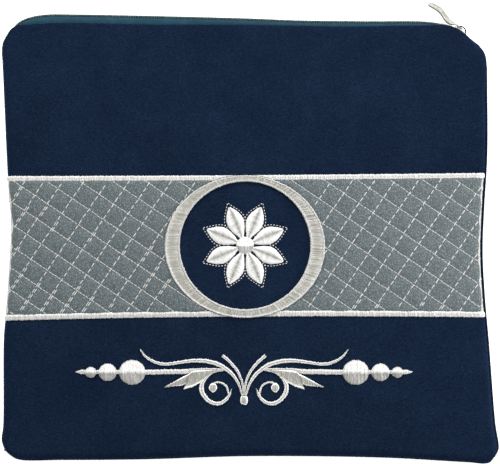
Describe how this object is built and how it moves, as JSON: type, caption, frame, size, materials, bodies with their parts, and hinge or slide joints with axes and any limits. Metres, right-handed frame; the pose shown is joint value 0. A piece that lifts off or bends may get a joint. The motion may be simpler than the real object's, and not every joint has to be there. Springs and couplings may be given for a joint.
{
  "type": "zipped textile bag",
  "caption": "Flat napped cloth bag with a grey quilted band, a silver embroidered ring and scroll, and a zip along the top, lying on its back.",
  "frame": {"origin": "on the back panel's flat resting face, near the middle of the bag", "axes": "+X to the right across the bag, +Y up the bag towards the zip, +Z out of the front, up from the floor"},
  "size_m": [0.3684, 0.342, 0.0289],
  "materials": {
    "cloth": "navy napped cloth",
    "leatherette": "grey pebbled leatherette",
    "satin_thread": "bright silver satin stitch",
    "ring_thread": "pale grey satin stitch",
    "tape": "teal woven tape",
    "coil": "dark teal nylon coil",
    "nickel": "bright nickel"
  },
  "bodies": {
    "bag": {"front_panel": "cloth", "back_panel": "cloth", "band_left": "leatherette", "band_right": "leatherette", "border_top_left": "satin_thread", "border_top_right": "satin_thread", "border_bottom_left": "satin_thread", "border_bottom_right": "satin_thread", "border_side_left": "satin_thread", "border_side_right": "satin_thread", "medallion_ring": "ring_thread", "medallion_rosette": "satin_thread", "scroll_left": "satin_thread", "scroll_right": "satin_thread", "scroll_drop_left": "satin_thread", "scroll_drop_right": "satin_thread", "scroll_drop_centre": "satin_thread", "zip_tape_front": "tape", "zip_tape_back": "tape", "zip_chain": "coil", "zip_slider": "nickel"},
    "pull": {"zip_pull": "nickel"}
  },
  "joints": [
    {"name": "pull_swing", "type": "hinge", "parent": "bag", "child": "pull", "pos_m": [0.15712, 0.15541, 0.0079], "axis": [0, 0, -1], "range_deg": [0, 165]}
  ]
}
